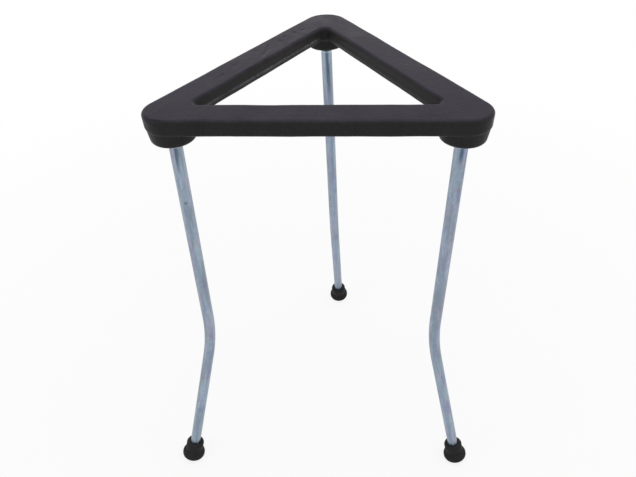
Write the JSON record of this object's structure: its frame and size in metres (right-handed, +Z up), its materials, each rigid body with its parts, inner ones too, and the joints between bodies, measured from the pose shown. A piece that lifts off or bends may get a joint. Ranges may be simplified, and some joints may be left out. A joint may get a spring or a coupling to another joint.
{
  "type": "lab tripod stand",
  "caption": "Laboratory tripod stand: a black cast triangular ring on three bent zinc-plated rod legs with rubber feet, to hold a vessel over a burner.",
  "frame": {"origin": "on the floor plane, in the middle of the box round the whole stand", "axes": "+Z up, +Y towards the back leg, where one corner of the ring points; the ring's front side is parallel to X"},
  "size_m": [0.1788, 0.1598, 0.234],
  "materials": {
    "black_casting": "satin black paint over a slightly rough casting",
    "zinc_rod": "bright zinc plating over drawn rod, faint lengthwise streaks",
    "black_rubber": "matt moulded rubber"
  },
  "bodies": {
    "root": {"ring": "black_casting", "leg_back": "zinc_rod", "leg_left": "zinc_rod", "leg_right": "zinc_rod", "foot_back": "black_rubber", "foot_left": "black_rubber", "foot_right": "black_rubber"}
  },
  "joints": []
}
